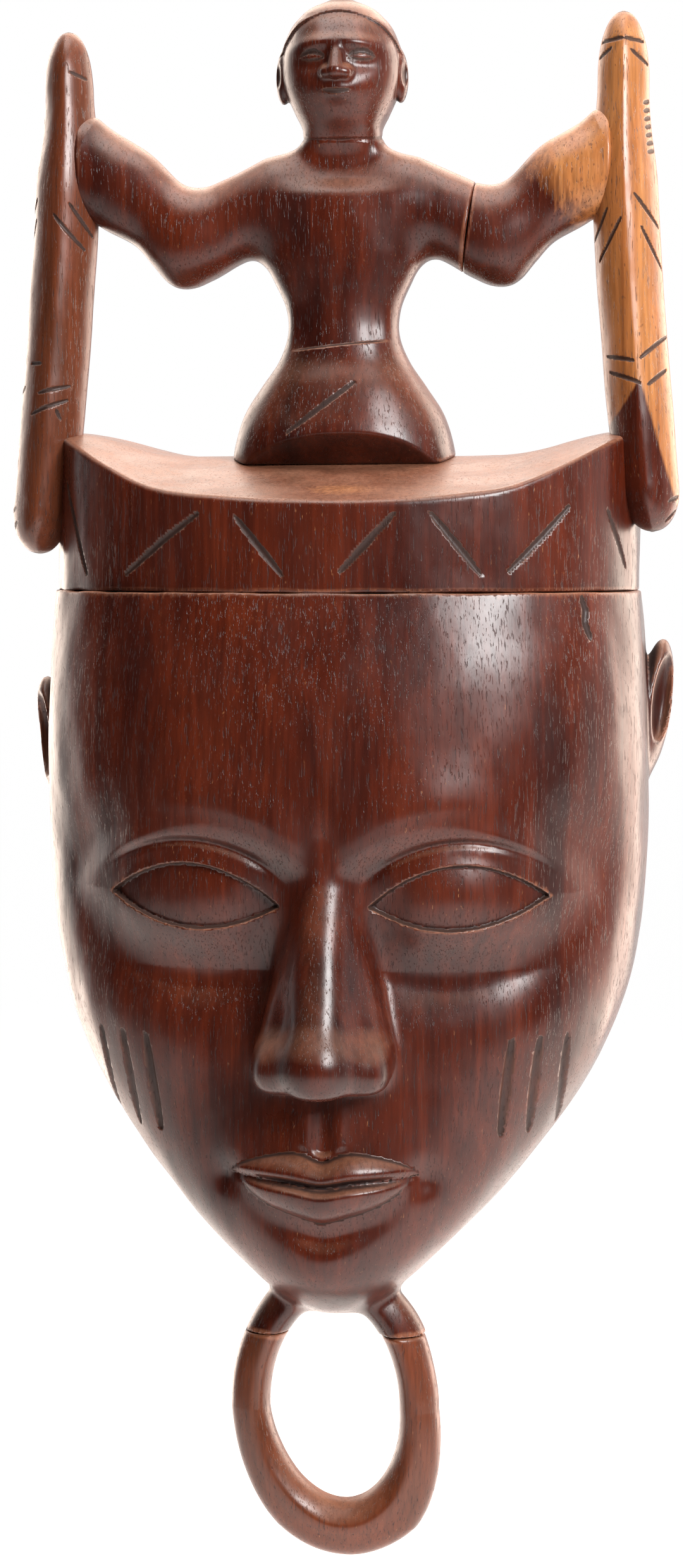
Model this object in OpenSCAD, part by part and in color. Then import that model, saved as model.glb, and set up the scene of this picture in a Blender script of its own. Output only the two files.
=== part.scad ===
// Carved wooden mask: a hollow face, a crown block with a figure that holds two posts, and a grip
// ring under the chin. Millimetres, +Z up, the face looks along -Y and the back lies in the plane
// y = 0. The origin is the mouth of the nail hole in the back of the crown.

/* [Face] */
// Width of the head at the temples
head_w = 177; // [172:1:182]
// Height of the face from the crown joint to the bottom of the chin
face_h = 210; // [202:1:214]
// Depth of the forehead from the back plane
forehead_d = 95; // [92:1:98]
// Wall of the hollow at its open back edge
rim_wall = 11; // [9:1:13]
// Thickness of wood between the hollow and the face
front_wall = 17; // [15:1:20]
// Wood left above the hollow, which takes the crown dowels
top_plate = 15; // [13:1:18]
// How far the tip of the nose stands out of the face
nose_out = 23; // [18:1:26]

/* [Crown] */
// Width of the crown block at its widest
crown_w = 171; // [169:1:174]
// Depth of the crown block from the back plane to its front
crown_d = 88; // [86:1:90]
// Height of the crown block at the back
crown_h = 39; // [38:1:41]
// Height of the crown block at its front edge
crown_front_h = 25; // [22:1:28]
// Height of the nail hole above the crown joint
nail_rise = 14; // [12:1:16]

/* [Figure and posts] */
// Distance of the arms, posts and figure from the back plane
figure_y = 40; // [38:1:42]
// Distance between the post centres at the top
post_gap = 160; // [158:1:162]
// Width of a post at the hands
post_w = 19; // [18:0.5:20]
// Depth of a post
post_d = 22; // [20:1:24]

/* [Grip ring] */
// Width of the ring across its centre line
ring_w = 49; // [47:1:51]
// Depth of the ring's bar
ring_bar_d = 14; // [12:1:16]
// Distance of the ring from the back plane
ring_y = 62; // [58:1:66]

/* [Joinery] */
// Radius of the nail hole
nail_r = 2.5; // [2:0.25:3]
// Depth of the nail hole
nail_depth = 18; // [14:1:22]
// Radius of the dowels between face and crown
dowel_r = 5; // [4:0.5:5]
// Length of the dowels between face and crown
dowel_l = 24; // [20:1:24]
// Radius of the small pegs
peg_r = 2.5; // [2:0.25:2.5]
// Length of the small pegs
peg_l = 20; // [16:1:20]

/* [Hidden] */

heartwood = "#5a2415";
sapwood = "#c9925c";
peg_wood = "#b98d5a";
eps = 0.02;
bore_play = 0.5;  // extra bore depth beyond the end of a dowel or peg
past = 3;         // how far a cutter runs past the face that it cuts

// Heights that the pieces share.
joint_z = -nail_rise;
chin_z = joint_z - face_h;
shelf_z = joint_z + crown_h;
brow_z = joint_z - face_h / 3;
eye_x = 0.21 * head_w;
nose_z = joint_z - 2 * face_h / 3;
eye_z = (shelf_z + chin_z) / 2;
mouth_z = nose_z - face_h / 9;
hollow_top = joint_z - top_plate;
hollow_bottom = chin_z + 24;

// Joints between the pieces.
shelf_break_y = -figure_y - 1;                 // where the crown's level top starts to slope forward
notch_x = 81.5;                                // face between the crown and a post
hand_x = 75.5;                                 // face between a hand and a post
hand_z = 108;
break_x = 36;                                  // where the right arm is joined
break_tilt = 8;
ring_joint_z = -227;
post_peg_z = [10, 22];
dowel_places = [[0, -62], [-48, -26], [48, -26]];
seat_dowel_y = -34;
seat_dowel_r = 6;
seat_dowel_l = 32;

// The ring's centre line: an egg, longer above its widest point.
ring_mid_z = -249;
ring_up = 37;
ring_down = 35;
ring_lean = 3.4;
ring_side_t = 6.2;
ring_base_t = 9.4;

function clamp(v, lo, hi) = min(max(v, lo), hi);
function smooth(v) = let (s = clamp(v, 0, 1)) s * s * (3 - 2 * s);
function signed_pow(v, p) = sign(v) * pow(abs(v), p);
function mix(a, b, t) = a + (b - a) * t;

// Points of a superellipse from one angle to another; n is 2 for an ellipse and less for a diamond.
function oval(rx, ry, n, from, to, steps) =
    [for (k = [0:steps]) let (t = from + (to - from) * k / steps)
        [rx * signed_pow(cos(t), 2 / n), ry * signed_pow(sin(t), 2 / n)]];

function closed_oval(rx, ry, n, steps) = [for (k = [0:steps - 1]) let (t = 360 * k / steps)
    [rx * signed_pow(cos(t), 2 / n), ry * signed_pow(sin(t), 2 / n)]];

// Outline of the head in plan, from the back on the left round the front to the back on the right.
// It is widest at widest_y and draws in a little towards the back plane. s runs from -1 to 1.
widest_y = -28;
back_reach = 75;
function plan_point(rx, depth, n, s) = let (
    a = asin(pow(-widest_y / back_reach, n / 2)),
    t = 270 + (90 + a) * s,
    ry = sin(t) > 0 ? back_reach : depth + widest_y)
    [rx * signed_pow(cos(t), 2 / n), widest_y + ry * signed_pow(sin(t), 2 / n)];

// A closed solid through rings of points, each counter-clockwise from above, from the bottom up.
module skin(rings) {
    n = len(rings[0]);
    m = len(rings);
    sides = [for (i = [0:m - 2], j = [0:n - 1]) let (k = (j + 1) % n, lo = i * n, hi = lo + n)
        each [[lo + j, hi + k, lo + k], [lo + j, hi + j, hi + k]]];
    caps = [[for (j = [0:n - 1]) j], [for (j = [n - 1:-1:0]) (m - 1) * n + j]];
    polyhedron([for (r = rings) each r], concat(sides, caps), convexity = 8);
}

module limb(a, ra, b, rb) {
    hull() {
        translate(a) scale([1, 0.8, 1]) sphere(ra, $fn = 24);
        translate(b) scale([1, 0.8, 1]) sphere(rb, $fn = 24);
    }
}

module both_sides() {
    children();
    mirror([1, 0, 0]) children();
}

// A square bar on edge between two points: it cuts a V along a line on a surface.
module groove(a, b, width) {
    d = b - a;
    translate(a) rotate([0, acos(d[2] / norm(d)), atan2(d[1], d[0])]) rotate([0, 0, 45])
        translate([-width / 2, -width / 2, 0]) cube([width, width, norm(d)]);
}

// A round bar or bore along X, centred at a point.
module bar_x(at, r, l) {
    translate(at) rotate([0, 90, 0]) cylinder(h = l, r = r, center = true, $fn = 48);
}

// ---- face -------------------------------------------------------------------------------------

function face_u(level) = (joint_z - level) / face_h;
widest_u = 0.28;
function head_half_w(level) = let (u = face_u(level), t = clamp((u - widest_u) / (1 - widest_u), 0, 1))
    u < widest_u ? head_w / 2 - 2.5 * pow(1 - u / widest_u, 2)
                 : head_w / 2 * pow(1 - pow(t, 2.4), 0.6);
function head_depth(level) = let (u = face_u(level))
    crown_d + (forehead_d - crown_d) * sin(180 * clamp(u / 0.5, 0, 1))
    - 26 * pow(clamp((u - 0.82) / 0.18, 0, 1), 2.5);
function jaw_rise(level) = 0.3 * smooth((face_u(level) - 0.45) / 0.5);

// 1 in the middle of a band, falling to 0 at its edges.
function dome(v, half) = clamp(1 - v * v / (half * half), 0, 1);

// Relief of the front of the face, outward in millimetres, at a place on it.
function socket(x, z) = 5 * smooth(1.3 - pow((abs(x) - eye_x) / 28, 2) - pow((z - eye_z - 1) / 17, 2));
function brow(x, z) = let (arc = brow_z + 6 - pow((abs(x) - eye_x) / 9, 2))
    3 * smooth(dome(z - arc, 9)) * smooth((abs(x) - 6) / 12) * smooth((66 - abs(x)) / 20);
function lips(x, z) = let (taper = dome(x, 27))
    7 * taper * (pow(dome(z - mouth_z - 5.5, 6.5), 0.8) + pow(dome(z - mouth_z + 6, 7), 0.8));
function chin(x, z) = 4 * smooth(dome(x, 24) * dome(z - chin_z - 16, 15));
function relief(x, z) = brow(x, z) - socket(x, z) + lips(x, z) + chin(x, z);

// Levels slope down to the front over the jaw, so that its underside rises towards the back.
function sheared(x, y, level, b) = [x, y, level + jaw_rise(level) * (y + b)];

face_levels = 38;
face_steps = 46;
function face_level(i) = chin_z + 1 + (face_h - 1) * pow(i / face_levels, 1.1);
// The steps lie closest together at the middle of the face.
function face_ring(level) = let (rx = head_half_w(level), b = head_depth(level))
    [for (k = [0:face_steps]) let (
        s = 2 * k / face_steps - 1,
        p = plan_point(rx, b, 2.2, 0.6 * s + 0.4 * pow(s, 3)),
        q = sheared(p[0], min(p[1], 0), level, b),
        front = smooth(-q[1] / b * 2.5 - 0.6))
        [q[0], q[1] - front * relief(q[0], q[2]), q[2]]];

hollow_levels = 18;
hollow_steps = 26;
function hollow_ring(i) = let (
    level = mix(hollow_bottom, hollow_top, i / hollow_levels),
    b = head_depth(level),
    // the first and last rings draw in, so that the hollow's ends are rounded
    round_in = 1 - 0.45 * pow(1 - sin(180 * clamp(i / hollow_levels, 0.04, 0.96)), 4),
    rx = max(head_half_w(level) - rim_wall, 6) * round_in,
    depth = (b - front_wall) * round_in)
    // both ends of a ring lie behind the head's back, so that the hollow is open there
    [for (k = [0:hollow_steps]) let (
        p = plan_point(rx, depth, 2.2, 2 * k / hollow_steps - 1),
        y = k == 0 || k == hollow_steps ? past : p[1])
        sheared(p[0], y, level, b)];

// A point on the face without its relief.
function face_point(x, level) = let (
    b = head_depth(level),
    y = widest_y - (b + widest_y) * pow(1 - pow(abs(x) / head_half_w(level), 2.2), 1 / 2.2))
    sheared(x, y, level, b);

// A right-hand ear: a flap that is thickest at its top, hollowed from the front.
module ear(z) {
    difference() {
        hull() {
            translate([90, -17, z + 13]) scale([1, 1.5, 1]) sphere(5, $fn = 24);
            translate([86, -19, z - 16]) scale([1, 1.3, 1]) sphere(4, $fn = 24);
        }
        translate([92, -26, z + 6]) rotate([0, 14, 0]) scale([0.25, 0.5, 1]) sphere(14, $fn = 24);
    }
}

// A dome on an almond-shaped base, lying in the XZ plane and standing out towards -Y.
module almond(half_w, half_h, out, sunk) {
    steps = 12;
    outline = concat(
        [for (k = [0:steps]) let (u = 1 - 2 * k / steps) [half_w * u, half_h * (1 - u * u)]],
        [for (k = [1:steps - 1]) let (u = 2 * k / steps - 1) [half_w * u, half_h * (u * u - 1)]]);
    heights = [[1, -sunk], [1, 0], [0.88, 0.5], [0.68, 0.8], [0.35, 0.97], [0.06, 1]];
    skin([for (h = heights) [for (p = outline) [p[0] * h[0], -h[1] * (h[1] > 0 ? out : 1), p[1] * h[0]]]]);
}

eye_turn = 17;
module eye() {
    middle = face_point(eye_x, eye_z);
    translate([eye_x, middle[1], eye_z]) rotate([0, 0, eye_turn]) {
        translate([0, 3, 0]) almond(25, 13, 3.5, 8);
        translate([0, 2, 0]) almond(20, 8.5, 5.5, 8);
    }
}

// A wedge, narrow at the bridge, with a rounded tip and a wing on each side of it.
module nose() {
    tip_y = -crown_d - nose_out + 8;
    hull() {
        translate([0, -87, brow_z - 2]) sphere(6, $fn = 24);
        translate([0, tip_y, nose_z + 9]) sphere(8, $fn = 24);
        translate([10.5, tip_y + 12, nose_z + 8]) sphere(7, $fn = 24);
        translate([-10.5, tip_y + 12, nose_z + 8]) sphere(7, $fn = 24);
    }
}

cheek_cut_x = [50, 58, 66];
module cheek_cuts() {
    for (x = cheek_cut_x) groove(face_point(x, nose_z + 12), face_point(x - 3, nose_z - 12), 2);
}

module mask_shell() {
    color(heartwood) difference() {
        union() {
            skin([for (i = [0:face_levels]) face_ring(face_level(i))]);
            nose();
            both_sides() eye();
            ear(joint_z - 35);
            mirror([1, 0, 0]) ear(joint_z - 47);
            ring_stubs();
        }
        skin([for (i = [0:hollow_levels]) hollow_ring(i)]);
        both_sides() cheek_cuts();
        crown_dowel_bores();
        ring_peg_bores();
    }
}

// ---- grip ring --------------------------------------------------------------------------------

// A point of the ring's centre line; 0 is its right side and 90 its top.
function ring_point(t) = let (z = sin(t) * (sin(t) > 0 ? ring_up : ring_down))
    [ring_w / 2 * cos(t) - ring_lean * clamp(z, -ring_down, 0) / ring_down, -ring_y, ring_mid_z + z];
function ring_half_t(t) = mix(ring_side_t, ring_base_t, pow(clamp(-sin(t), 0, 1), 1.5));
ring_joint_t = asin((ring_joint_z - ring_mid_z) / ring_up);

// The bar's outline at an angle, square to the centre line.
function ring_section(t, steps) = let (
    c = ring_point(t),
    along = ring_point(t + 0.5) - ring_point(t - 0.5),
    d = along / norm(along),
    side = [d[2], 0, -d[0]])
    [for (p = closed_oval(ring_half_t(t), ring_bar_d / 2, 1.8, steps)) c + side * p[0] + [0, p[1], 0]];

ring_slices = 40;
ring_sides = 14;
module ring_sweep(from, to, slices) {
    skin([for (i = [0:slices]) ring_section(mix(from, to, i / slices), ring_sides)]);
}

// The lower part of the loop, cut level at the joint.
module chin_ring() {
    reach = 14;
    color(heartwood) difference() {
        ring_sweep(180 - ring_joint_t - reach, 360 + ring_joint_t + reach, ring_slices);
        translate([-50, -ring_y - 20, ring_joint_z]) cube([100, 40, 40]);
        ring_peg_bores();
    }
}

// The upper part of the loop, which grows out of the jaw and is one with it.
module ring_stubs() {
    difference() {
        ring_sweep(ring_joint_t - 14, 180 - ring_joint_t + 14, 16);
        translate([-50, -ring_y - 20, ring_joint_z - 40]) cube([100, 40, 40]);
    }
}

module at_ring_joints() {
    for (t = [ring_joint_t, 180 - ring_joint_t]) {
        along = ring_point(t + 0.5) - ring_point(t - 0.5);
        translate(ring_point(t)) rotate([0, atan2(along[0], along[2]), 0]) children();
    }
}

module ring_peg_bores() {
    at_ring_joints() cylinder(h = peg_l + 2 * bore_play, r = peg_r, center = true, $fn = 48);
}

module ring_pegs() {
    color(peg_wood) at_ring_joints() cylinder(h = peg_l, r = peg_r, center = true, $fn = 48);
}

// ---- crown ------------------------------------------------------------------------------------

// Height of the crown's top across its width: level in the middle, rising towards the posts.
function top_z(x) = shelf_z + 7 * smooth((abs(x) - 46) / 36);

// What is cut away above the crown: level at the back, sloping down in front of shelf_break_y.
module above_crown() {
    sky = shelf_z + 60;
    profile = concat([for (x = [-96:6:96]) [x, top_z(x)]], [[96, sky], [-96, sky]]);
    slope = atan2(crown_h - crown_front_h, crown_d + shelf_break_y);
    translate([0, past, 0]) rotate([90, 0, 0]) linear_extrude(crown_d + 2 * past) polygon(profile);
    translate([0, shelf_break_y, shelf_z]) rotate([slope, 0, 0]) translate([0, 0, -shelf_z])
        rotate([90, 0, 0]) linear_extrude(crown_d) polygon(profile);
}

// The flat in the crown's side that a post sits in.
module post_notch() {
    translate([notch_x, -figure_y - 13, -8]) cube([20, 26, 60]);
}

crown_steps = 52;
module crown_block() {
    translate([0, 0, joint_z]) linear_extrude(crown_h + 12)
        polygon([for (k = [0:crown_steps]) plan_point(crown_w / 2, crown_d, 2, 2 * k / crown_steps - 1)]);
}

module crown() {
    color(heartwood) difference() {
        crown_block();
        above_crown();
        both_sides() post_notch();
        translate([0, -nail_depth, 0]) rotate([-90, 0, 0])
            cylinder(h = nail_depth + past, r = nail_r, $fn = 48);
        crown_dowel_bores();
        seat_dowel_bore();
        post_peg_bores();
        zigzag();
    }
}

// Straight cuts that make a zigzag round the band: place on the plan and height above the joint, at
// the start and at the end of each.
zigzag_cuts = [[-0.59, 30, -0.5, 5], [-0.385, 5, -0.22, 22], [-0.145, 21, -0.07, 5], [0.03, 6, 0.11, 22],
               [0.18, 22, 0.27, 5], [0.325, 6, 0.455, 24], [0.57, 23, 0.655, 7]];
function band_point(s, rise) = let (p = plan_point(crown_w / 2, crown_d, 2, s))
    [p[0], p[1], joint_z + rise];
module zigzag() {
    for (c = zigzag_cuts) groove(band_point(c[0], c[1]), band_point(c[2], c[3]), 1.8);
}

module crown_dowel_bores() {
    for (p = dowel_places) translate([p[0], p[1], joint_z])
        cylinder(h = dowel_l + 2 * bore_play, r = dowel_r, center = true, $fn = 48);
}

module crown_dowels() {
    color(peg_wood) for (p = dowel_places) translate([p[0], p[1], joint_z])
        cylinder(h = dowel_l, r = dowel_r, center = true, $fn = 48);
}

// ---- figure -----------------------------------------------------------------------------------

// Height, half width, half depth and distance from the back plane of the body's outline.
body_outline = [
    [18, 30, 24, 37], [21, 31.5, 25, 37], [26, 32, 25, 37], [33, 30.5, 24, 37], [40, 27.3, 22, 37],
    [46, 23, 18.5, 38], [51, 19.2, 15.5, 39], [56, 16.8, 13.5, 39.5], [62, 15.8, 12.4, 40],
    [68, 16.8, 12.2, 40], [74, 19.6, 12.4, 40], [80, 22.6, 12.6, 40], [88, 24.6, 12.6, 40],
    [97, 25, 12.4, 40], [104, 22, 11.5, 40], [109, 16.5, 10.6, 40], [113, 12.4, 10.2, 40],
    [117, 11.5, 11, 40.5], [120, 12.6, 13, 41.5], [125, 15.2, 16, 42], [131, 16.6, 17.2, 42],
    [137, 16.5, 17, 42], [143, 14.4, 15, 42], [148, 10.6, 11.5, 42], [152, 5.5, 7, 42], [153.5, 2, 3, 42]];
body_steps = 28;

elbow_x = 44;
elbow_z = 87;
shoulder = [18, -figure_y, 97];
elbow = [elbow_x, -figure_y, elbow_z];
hand = [hand_x, -figure_y, hand_z];

module body() {
    skin([for (s = body_outline)
        [for (p = closed_oval(s[1], s[2], 2.2, body_steps)) [p[0], p[1] - s[3], s[0]]]]);
}

module figure_head() {
    both_sides() translate([17, -42, 130]) scale([0.45, 0.7, 1]) sphere(6.5, $fn = 24);
    hull() {
        translate([0, -57, 138]) sphere(1.6, $fn = 16);
        translate([-2.6, -58, 130]) sphere(2.2, $fn = 16);
        translate([2.6, -58, 130]) sphere(2.2, $fn = 16);
    }
}

module belt_and_skirt_cuts() {
    groove([-9.5, -51, 55], [8.5, -51, 57], 1.4);
    groove([-17, -60, 29.5], [4, -57, 44.5], 1.4);
}

module arm() {
    limb(shoulder, 12.5, elbow, 13);
    limb(elbow, 13, hand, 14.5);
}

// The crown as the figure meets it, whose top is level across the seat.
module seat_cut() {
    difference() {
        translate([-40, -crown_d, joint_z]) cube([80, crown_d + past, crown_h + 6]);
        above_crown();
    }
}

module past_hand() {
    translate([hand_x, -figure_y - 30, hand_z - 40]) cube([40, 60, 80]);
}

// Everything on the outer side of the join in the right arm.
module past_break(shift) {
    translate([break_x + shift, -figure_y, elbow_z]) rotate([0, break_tilt, 0])
        translate([0, -30, -60]) cube([80, 60, 120]);
}

module figure() {
    color(heartwood) difference() {
        union() {
            body();
            figure_head();
            difference() {
                arm();
                past_break(0);
            }
            mirror([1, 0, 0]) difference() {
                arm();
                past_hand();
            }
        }
        seat_cut();
        belt_and_skirt_cuts();
        seat_dowel_bore();
        arm_pin_shape(bore_play);
        mirror([1, 0, 0]) hand_peg_shape(0, bore_play);
    }
}

module forearm_right() {
    color(heartwood) difference() {
        intersection() {
            arm();
            past_break(0);
        }
        past_hand();
        arm_pin_shape(bore_play);
        hand_peg_shape(0, bore_play);
    }
}

module seat_dowel_bore() {
    translate([0, seat_dowel_y, shelf_z])
        cylinder(h = seat_dowel_l + 2 * bore_play, r = seat_dowel_r, center = true, $fn = 48);
}

module seat_dowel() {
    color(peg_wood) translate([0, seat_dowel_y, shelf_z])
        cylinder(h = seat_dowel_l, r = seat_dowel_r, center = true, $fn = 48);
}

module arm_pin_shape(play) {
    translate([break_x, -figure_y, elbow_z + 3]) rotate([0, 90 + break_tilt, 0])
        cylinder(h = peg_l + 2 * play, r = peg_r, center = true, $fn = 48);
}

module arm_pin() {
    color(peg_wood) arm_pin_shape(0);
}

// ---- posts ------------------------------------------------------------------------------------

post_left_z = [-3.5, 147];
post_right_z = [3, 150];
post_levels = 26;
post_steps = 20;
function post_x(z) = post_gap / 2 + 9.5 * pow(clamp((120 - z) / 120, 0, 1), 1.5);
// Rounds an end off over a length, going to almost nothing at the tip.
function round_end(gap, length) = sqrt(1 - pow(clamp(1 - gap / length, 0, 0.985), 2));
function post_half_w(z, ends) =
    mix(post_w / 2, 7.2, smooth((z - 100) / 30)) * mix(0.92, 1, smooth((z - 5) / 40))
    * round_end(ends[1] - z, 20) * round_end(z - ends[0], 15);

module post_body(ends) {
    skin([for (i = [0:post_levels]) let (
        z = mix(ends[0], ends[1], (1 - cos(180 * i / post_levels)) / 2),
        w = post_half_w(z, ends))
        [for (p = closed_oval(w, w * post_d / post_w, 1.6, post_steps))
            [p[0] + post_x(z), p[1] - figure_y, z]]]);
}

// A right-hand post; its flats meet the hand and the crown's notch.
module post(ends) {
    hand_r = 14.5;
    difference() {
        post_body(ends);
        translate([hand_x - 20, -figure_y - 20, hand_z - hand_r]) cube([20, 40, 2 * hand_r]);
        translate([notch_x - 20, -figure_y - 20, -20]) cube([20, 40, 20 + top_z(notch_x)]);
        hand_peg_shape(0, bore_play);
        for (z = post_peg_z) bar_x([notch_x, -figure_y, z], peg_r, peg_half_l * 2);
    }
}
peg_half_l = peg_l / 2 - 3;

module post_right() {
    color(sapwood) post(post_right_z);
}

module post_left() {
    color(heartwood) mirror([1, 0, 0]) post(post_left_z);
}

module hand_peg_shape(shift, play) {
    bar_x([hand_x + shift, -figure_y, hand_z], peg_r, peg_half_l * 2 + 2 * play);
}

module hand_pegs() {
    color(peg_wood) both_sides() hand_peg_shape(0, 0);
}

module post_peg_bores() {
    both_sides() for (z = post_peg_z) bar_x([notch_x, -figure_y, z], peg_r, peg_half_l * 2);
}

module post_pegs() {
    color(peg_wood) both_sides() for (z = post_peg_z)
        bar_x([notch_x, -figure_y, z], peg_r, peg_half_l * 2 - 2 * bore_play);
}

mask_shell();
crown();
figure();
forearm_right();
post_left();
post_right();
chin_ring();
crown_dowels();
seat_dowel();
arm_pin();
hand_pegs();
post_pegs();
ring_pegs();
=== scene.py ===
"""The looks of the carved wooden mask: every visible piece is carved in code as a field of signed
distances, meshed, and given a procedural wood. Distances inside the carving functions are in
millimetres, in the frame's axes: +X to the viewer's right, +Y to the back, +Z up."""

import math

import bpy
import numpy as np
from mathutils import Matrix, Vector


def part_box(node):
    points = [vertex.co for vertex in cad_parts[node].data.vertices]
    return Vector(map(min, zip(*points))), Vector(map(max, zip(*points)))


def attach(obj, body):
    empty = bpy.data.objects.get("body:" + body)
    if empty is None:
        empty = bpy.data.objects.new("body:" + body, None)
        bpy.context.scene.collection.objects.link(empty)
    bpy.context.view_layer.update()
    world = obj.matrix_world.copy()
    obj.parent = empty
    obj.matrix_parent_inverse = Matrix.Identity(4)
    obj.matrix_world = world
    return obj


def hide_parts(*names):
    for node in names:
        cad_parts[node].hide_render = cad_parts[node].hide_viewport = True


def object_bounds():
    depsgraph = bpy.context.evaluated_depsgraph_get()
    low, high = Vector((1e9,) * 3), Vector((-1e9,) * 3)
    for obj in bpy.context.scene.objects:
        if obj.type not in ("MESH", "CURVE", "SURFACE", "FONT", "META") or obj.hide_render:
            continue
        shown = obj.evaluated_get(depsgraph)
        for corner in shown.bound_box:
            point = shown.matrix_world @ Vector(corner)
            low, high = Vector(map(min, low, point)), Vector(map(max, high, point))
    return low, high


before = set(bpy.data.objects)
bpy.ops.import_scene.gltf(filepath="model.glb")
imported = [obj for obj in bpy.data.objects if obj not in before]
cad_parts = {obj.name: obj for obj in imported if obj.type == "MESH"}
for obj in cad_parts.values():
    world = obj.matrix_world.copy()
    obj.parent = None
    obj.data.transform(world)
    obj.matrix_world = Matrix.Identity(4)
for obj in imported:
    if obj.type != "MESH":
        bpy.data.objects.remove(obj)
cad_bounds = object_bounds()
MM = 0.001


def cad_box(node):
    """The lowest and highest corner of a CAD node, in millimetres."""
    return [np.array(corner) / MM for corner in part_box(node)]


# ---- sizes, from the frame ------------------------------------------------------------------

CROWN_LO, CROWN_HI = cad_box("crown")
RING_LO, RING_HI = cad_box("chin_ring")
POST_LO, POST_HI = cad_box("post_right")
LEFT_POST_LO, LEFT_POST_HI = cad_box("post_left")

JOINT_Z = CROWN_LO[2]
CROWN_D = -CROWN_LO[1]
CROWN_R = CROWN_HI[0]
SHELF_Z = CROWN_HI[2] - 7.0
SIDE_RISE = 7.0
SHELF_BREAK_Y = -41.0
SHELF_SLOPE = 14.0 / (CROWN_D + SHELF_BREAK_Y)
WIDEST_Y = -28.0
BACK_REACH = 75.0

FACE_H = 210.0
CHIN_Z = JOINT_Z - FACE_H
HEAD_R = 88.5
FOREHEAD_D = 95.0
RIM_WALL = 11.0
FRONT_WALL = 17.0
HOLLOW_TOP = JOINT_Z - 15.0
HOLLOW_BOTTOM = CHIN_Z + 24.0
BROW_Z = JOINT_Z - FACE_H / 3
EYE_Z = (SHELF_Z + CHIN_Z) / 2
EYE_X = 0.42 * HEAD_R
NOSE_Z = JOINT_Z - 2 * FACE_H / 3
MOUTH_Z = NOSE_Z - FACE_H / 9

FIGURE_Y = -40.0
SHOULDER = (18.0, FIGURE_Y, 98.0)
ELBOW = (44.0, FIGURE_Y, 87.0)
HAND = (75.5, FIGURE_Y, 108.0)
BREAK_X = 36.0
BREAK_TILT = math.radians(8)

RING_Y = (RING_LO[1] + RING_HI[1]) / 2
RING_JOINT_Z = RING_HI[2]
RING_MID_Z = -249.0
RING_UP = 37.0
RING_R = 24.5
RING_BASE_T = 9.4
RING_SIDE_T = 6.2
RING_DOWN = RING_MID_Z - RING_LO[2] - RING_BASE_T
RING_LEAN = 3.4


# ---- fields ---------------------------------------------------------------------------------


def smooth(v):
    v = np.clip(v, 0.0, 1.0)
    return v * v * (3.0 - 2.0 * v)


def mix(a, b, t):
    return a + (b - a) * t


def bell(v, width):
    """1 at v = 0, falling to nothing past about twice the width."""
    return np.exp(-((v / width) ** 2))


def join(a, b, k):
    """The union of two fields with a fillet of about k."""
    h = np.clip(0.5 + 0.5 * (b - a) / k, 0.0, 1.0)
    return mix(b, a, h) - k * h * (1.0 - h)


def meet(a, b, k):
    """The part inside both fields, its edge rounded by about k."""
    return -join(-a, -b, k)


def cut(a, b, k):
    return meet(a, -b, k)


def ellipsoid(x, y, z, centre, radii):
    px = (x - centre[0]) / radii[0]
    py = (y - centre[1]) / radii[1]
    pz = (z - centre[2]) / radii[2]
    k0 = np.sqrt(px * px + py * py + pz * pz)
    k1 = np.sqrt((px / radii[0]) ** 2 + (py / radii[1]) ** 2 + (pz / radii[2]) ** 2)
    return k0 * (k0 - 1.0) / np.maximum(k1, 1e-6)


def along_segment(x, y, z, a, b):
    """How far along a segment each point lies, 0 to 1, and its distance from it."""
    a = np.asarray(a, float)
    d = np.asarray(b, float) - a
    px, py, pz = x - a[0], y - a[1], z - a[2]
    t = np.clip((px * d[0] + py * d[1] + pz * d[2]) / (d @ d), 0.0, 1.0)
    return t, np.sqrt((px - t * d[0]) ** 2 + (py - t * d[1]) ** 2 + (pz - t * d[2]) ** 2)


def capsule(x, y, z, a, b, ra, rb, flat=1.0):
    """A rounded bar from a to b. flat below 1 makes it thinner from front to back."""
    ym = (a[1] + b[1]) / 2
    t, d = along_segment(x, ym + (y - ym) / flat, z, a, b)
    return (d - mix(ra, rb, t)) * flat


def super_oval(px, py, rx, ry, n):
    """Distance to first order from a superellipse with half-axes rx and ry."""
    ax = np.maximum(np.abs(px), 1e-4)
    ay = np.maximum(np.abs(py), 1e-4)
    q = ((ax / rx) ** n + (ay / ry) ** n) ** (1.0 / n)
    gx = (ax / rx) ** (n - 1.0) / rx
    gy = (ay / ry) ** (n - 1.0) / ry
    g = np.sqrt(gx * gx + gy * gy) * np.maximum(q, 1e-3) ** (1.0 - n)
    return (q - 1.0) / np.maximum(g, 1e-4)


def spline(z, knots):
    """A smooth curve through rows of (z, value, ...), one result for each value."""
    table = np.array(knots, float)
    zs, vs = table[:, 0], table[:, 1:]
    slopes = np.gradient(vs, zs, axis=0)
    k = np.clip(np.searchsorted(zs, z) - 1, 0, len(zs) - 2)
    w = zs[k + 1] - zs[k]
    t = np.clip((z - zs[k]) / w, 0.0, 1.0)
    h1, h2 = t * t * (3 - 2 * t), t * (1 - t) ** 2
    h3 = -t * t * (1 - t)
    return [
        mix(vs[k, i], vs[k + 1, i], h1) + w * (slopes[k, i] * h2 + slopes[k + 1, i] * h3)
        for i in range(vs.shape[1])
    ]


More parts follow.
